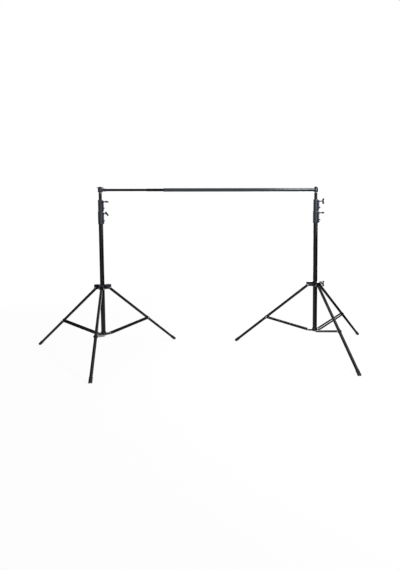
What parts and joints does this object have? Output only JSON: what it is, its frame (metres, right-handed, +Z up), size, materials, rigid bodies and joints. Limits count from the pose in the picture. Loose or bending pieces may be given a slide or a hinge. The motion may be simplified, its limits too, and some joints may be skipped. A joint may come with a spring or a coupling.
{
  "type": "backdrop support stand",
  "caption": "Telescopic crossbar carried between tripod light stands, with folding braced legs, sliding column stages, clamp collars and cross-handle knobs.",
  "frame": {"origin": "on the floor, under the middle of the box round the whole support", "axes": "+X along the crossbar from the thin end to the thick end, +Y away from the viewer of the picture, +Z up"},
  "size_m": [2.9006, 1.0934, 1.3219],
  "materials": {
    "black_tube": "gloss black enamel on aluminium tube",
    "black_bar": "gloss black enamel on aluminium tube",
    "slate_bar": "gloss dark slate enamel on aluminium tube",
    "black_strip": "black enamel on flat steel strip",
    "collar_plastic": "satin slate-black moulded plastic",
    "knob_plastic": "satin black moulded plastic",
    "foot_rubber": "matt black rubber",
    "bright_zinc": "bright zinc-plated steel"
  },
  "bodies": {
    "left_column": {"left_column_tube": "black_tube", "left_column_plug": "knob_plastic", "left_brace_hub": "collar_plastic", "left_lower_collar": "collar_plastic"},
    "left_leg_hub": {"left_leg_hub": "collar_plastic", "left_leg_bolt_1": "bright_zinc", "left_leg_bolt_2": "bright_zinc", "left_leg_bolt_3": "bright_zinc"},
    "left_middle": {"left_middle_tube": "black_tube", "left_upper_collar": "collar_plastic"},
    "left_top": {"left_top_tube": "black_tube", "left_stud": "bright_zinc"},
    "left_lower_knob": {"left_lower_knob": "knob_plastic"},
    "left_upper_knob": {"left_upper_knob": "knob_plastic"},
    "left_hub_knob": {"left_hub_knob": "knob_plastic"},
    "left_wing_knob": {"left_wing_knob": "knob_plastic"},
    "left_leg_1": {"left_leg_1": "black_tube", "left_foot_1": "foot_rubber"},
    "left_brace_1": {"left_brace_1": "black_strip"},
    "left_leg_2": {"left_leg_2": "black_tube", "left_foot_2": "foot_rubber"},
    "left_brace_2": {"left_brace_2": "black_strip"},
    "left_leg_3": {"left_leg_3": "black_tube", "left_foot_3": "foot_rubber"},
    "left_brace_3": {"left_brace_3": "black_strip"},
    "bar_thin": {"bar_thin": "black_bar", "left_bar_fitting": "collar_plastic"},
    "bar_slim": {"bar_slim": "black_bar"},
    "bar_core": {"bar_core": "black_bar"},
    "bar_thick": {"bar_thick": "slate_bar", "right_bar_fitting": "collar_plastic"},
    "right_column": {"right_column_tube": "black_tube", "right_column_plug": "knob_plastic", "right_brace_hub": "collar_plastic", "right_lower_collar": "collar_plastic"},
    "right_leg_hub": {"right_leg_hub": "collar_plastic", "right_leg_bolt_1": "bright_zinc", "right_leg_bolt_2": "bright_zinc", "right_leg_bolt_3": "bright_zinc"},
    "right_middle": {"right_middle_tube": "black_tube", "right_upper_collar": "collar_plastic"},
    "right_top": {"right_top_tube": "black_tube", "right_stud": "bright_zinc"},
    "right_lower_knob": {"right_lower_knob": "knob_plastic"},
    "right_upper_knob": {"right_upper_knob": "knob_plastic"},
    "right_hub_knob": {"right_hub_knob": "knob_plastic"},
    "right_wing_knob": {"right_wing_knob": "knob_plastic"},
    "right_leg_1": {"right_leg_1": "black_tube", "right_foot_1": "foot_rubber"},
    "right_brace_1": {"right_brace_1": "black_strip"},
    "right_leg_2": {"right_leg_2": "black_tube", "right_foot_2": "foot_rubber"},
    "right_brace_2": {"right_brace_2": "black_strip"},
    "right_leg_3": {"right_leg_3": "black_tube", "right_foot_3": "foot_rubber"},
    "right_brace_3": {"right_brace_3": "black_strip"}
  },
  "joints": [
    {"name": "left_hub_slide", "type": "slide", "parent": "left_column", "child": "left_leg_hub", "axis": [0, 0, 1], "range_m": [0, 0.4384]},
    {"name": "left_hub_knob_turn", "type": "hinge", "parent": "left_leg_hub", "child": "left_hub_knob", "pos_m": [-0.8296, 0.137, 0.5372], "axis": [0.9023, -0.4311, 0], "range_deg": [0, 360]},
    {"name": "left_lower_knob_turn", "type": "hinge", "parent": "left_column", "child": "left_lower_knob", "pos_m": [-0.8296, 0.137, 1.1105], "axis": [0.9023, -0.4311, 0], "range_deg": [0, 360]},
    {"name": "left_upper_knob_turn", "type": "hinge", "parent": "left_middle", "child": "left_upper_knob", "pos_m": [-0.8296, 0.137, 1.2028], "axis": [0.9023, -0.4311, 0], "range_deg": [0, 360]},
    {"name": "left_wing_knob_turn", "type": "hinge", "parent": "left_top", "child": "left_wing_knob", "pos_m": [-0.8296, 0.137, 1.3111], "axis": [0, 0, 1], "range_deg": [0, 360]},
    {"name": "left_leg_1_fold", "type": "hinge", "parent": "left_leg_hub", "child": "left_leg_1", "pos_m": [-0.87923, 0.16071, 0.5252], "axis": [-0.4311, -0.9023, 0], "range_deg": [0, 48.1]},
    {"name": "left_brace_1_fold", "type": "hinge", "parent": "left_column", "child": "left_brace_1", "pos_m": [-0.87923, 0.16071, 0.1516], "axis": [0.4311, 0.9023, 0], "range_deg": [0, 74.22]},
    {"name": "left_leg_2_fold", "type": "hinge", "parent": "left_leg_hub", "child": "left_leg_2", "pos_m": [-0.82533, 0.08217, 0.5252], "axis": [0.997, 0.0778, 0], "range_deg": [0, 48.1]},
    {"name": "left_brace_2_fold", "type": "hinge", "parent": "left_column", "child": "left_brace_2", "pos_m": [-0.82533, 0.08217, 0.1516], "axis": [-0.997, -0.0778, 0], "range_deg": [0, 74.22]},
    {"name": "left_leg_3_fold", "type": "hinge", "parent": "left_leg_hub", "child": "left_leg_3", "pos_m": [-0.78425, 0.16812, 0.5252], "axis": [-0.5658, 0.8245, 0], "range_deg": [0, 48.1]},
    {"name": "left_brace_3_fold", "type": "hinge", "parent": "left_column", "child": "left_brace_3", "pos_m": [-0.78425, 0.16812, 0.1516], "axis": [0.5658, -0.8245, 0], "range_deg": [0, 74.22]},
    {"name": "left_middle_slide", "type": "slide", "parent": "left_column", "child": "left_middle", "axis": [0, 0, 1], "range_m": [0, 0.75]},
    {"name": "left_top_slide", "type": "slide", "parent": "left_middle", "child": "left_top", "axis": [0, 0, 1], "range_m": [0, 0.75]},
    {"name": "left_swivel", "type": "hinge", "parent": "left_top", "child": "bar_thin", "pos_m": [-0.8296, 0.137, 1.2964], "axis": [0, 0, 1], "range_deg": [-180, 180]},
    {"name": "bar_slim_slide", "type": "slide", "parent": "bar_thin", "child": "bar_slim", "axis": [1, 0, 0], "range_m": [-0.31, 0.28]},
    {"name": "bar_core_slide", "type": "slide", "parent": "bar_slim", "child": "bar_core", "axis": [1, 0, 0], "range_m": [-0.13, 0.46]},
    {"name": "bar_thick_slide", "type": "slide", "parent": "bar_core", "child": "bar_thick", "axis": [1, 0, 0], "range_m": [0, 0.59]},
    {"name": "right_hub_slide", "type": "slide", "parent": "right_column", "child": "right_leg_hub", "axis": [0, 0, 1], "range_m": [0, 0.4384]},
    {"name": "right_hub_knob_turn", "type": "hinge", "parent": "right_leg_hub", "child": "right_hub_knob", "pos_m": [0.8917, 0.137, 0.5372], "axis": [0.9133, -0.4074, 0], "range_deg": [0, 360]},
    {"name": "right_lower_knob_turn", "type": "hinge", "parent": "right_column", "child": "right_lower_knob", "pos_m": [0.8917, 0.137, 1.1105], "axis": [0.9133, -0.4074, 0], "range_deg": [0, 360]},
    {"name": "right_upper_knob_turn", "type": "hinge", "parent": "right_middle", "child": "right_upper_knob", "pos_m": [0.8917, 0.137, 1.2028], "axis": [0.9133, -0.4074, 0], "range_deg": [0, 360]},
    {"name": "right_wing_knob_turn", "type": "hinge", "parent": "right_top", "child": "right_wing_knob", "pos_m": [0.8917, 0.137, 1.3111], "axis": [0, 0, 1], "range_deg": [0, 360]},
    {"name": "right_leg_1_fold", "type": "hinge", "parent": "right_leg_hub", "child": "right_leg_1", "pos_m": [0.84147, 0.15941, 0.5252], "axis": [-0.4074, -0.9133, 0], "range_deg": [0, 48.1]},
    {"name": "right_brace_1_fold", "type": "hinge", "parent": "right_column", "child": "right_brace_1", "pos_m": [0.84147, 0.15941, 0.1516], "axis": [0.4074, 0.9133, 0], "range_deg": [0, 74.22]},
    {"name": "right_leg_2_fold", "type": "hinge", "parent": "right_leg_hub", "child": "right_leg_2", "pos_m": [0.89741, 0.0823, 0.5252], "axis": [0.9946, 0.1038, 0], "range_deg": [0, 48.1]},
    {"name": "right_brace_2_fold", "type": "hinge", "parent": "right_column", "child": "right_brace_2", "pos_m": [0.89741, 0.0823, 0.1516], "axis": [-0.9946, -0.1038, 0], "range_deg": [0, 74.22]},
    {"name": "right_leg_3_fold", "type": "hinge", "parent": "right_leg_hub", "child": "right_leg_3", "pos_m": [0.93622, 0.1693, 0.5252], "axis": [-0.5872, 0.8094, 0], "range_deg": [0, 48.1]},
    {"name": "right_brace_3_fold", "type": "hinge", "parent": "right_column", "child": "right_brace_3", "pos_m": [0.93622, 0.1693, 0.1516], "axis": [0.5872, -0.8094, 0], "range_deg": [0, 74.22]},
    {"name": "right_swivel", "type": "hinge", "parent": "bar_thick", "child": "right_top", "pos_m": [0.8917, 0.137, 1.2964], "axis": [0, 0, 1], "range_deg": [-180, 180]},
    {"name": "right_top_slide", "type": "slide", "parent": "right_top", "child": "right_middle", "axis": [0, 0, -1], "range_m": [0, 0.75]},
    {"name": "right_middle_slide", "type": "slide", "parent": "right_middle", "child": "right_column", "axis": [0, 0, -1], "range_m": [0, 0.75]}
  ],
  "couplings": [
    {"joint": "left_leg_1_fold", "follows": "left_hub_slide", "rad_per_m": 1.9148},
    {"joint": "left_brace_1_fold", "follows": "left_hub_slide", "rad_per_m": 2.9548},
    {"joint": "left_leg_2_fold", "follows": "left_hub_slide", "rad_per_m": 1.9148},
    {"joint": "left_brace_2_fold", "follows": "left_hub_slide", "rad_per_m": 2.9548},
    {"joint": "left_leg_3_fold", "follows": "left_hub_slide", "rad_per_m": 1.9148},
    {"joint": "left_brace_3_fold", "follows": "left_hub_slide", "rad_per_m": 2.9548},
    {"joint": "right_leg_1_fold", "follows": "right_hub_slide", "rad_per_m": 1.9148},
    {"joint": "right_brace_1_fold", "follows": "right_hub_slide", "rad_per_m": 2.9548},
    {"joint": "right_leg_2_fold", "follows": "right_hub_slide", "rad_per_m": 1.9148},
    {"joint": "right_brace_2_fold", "follows": "right_hub_slide", "rad_per_m": 2.9548},
    {"joint": "right_leg_3_fold", "follows": "right_hub_slide", "rad_per_m": 1.9148},
    {"joint": "right_brace_3_fold", "follows": "right_hub_slide", "rad_per_m": 2.9548},
    {"joint": "right_top_slide", "follows": "left_top_slide", "ratio": 1},
    {"joint": "right_middle_slide", "follows": "left_middle_slide", "ratio": 1}
  ]
}
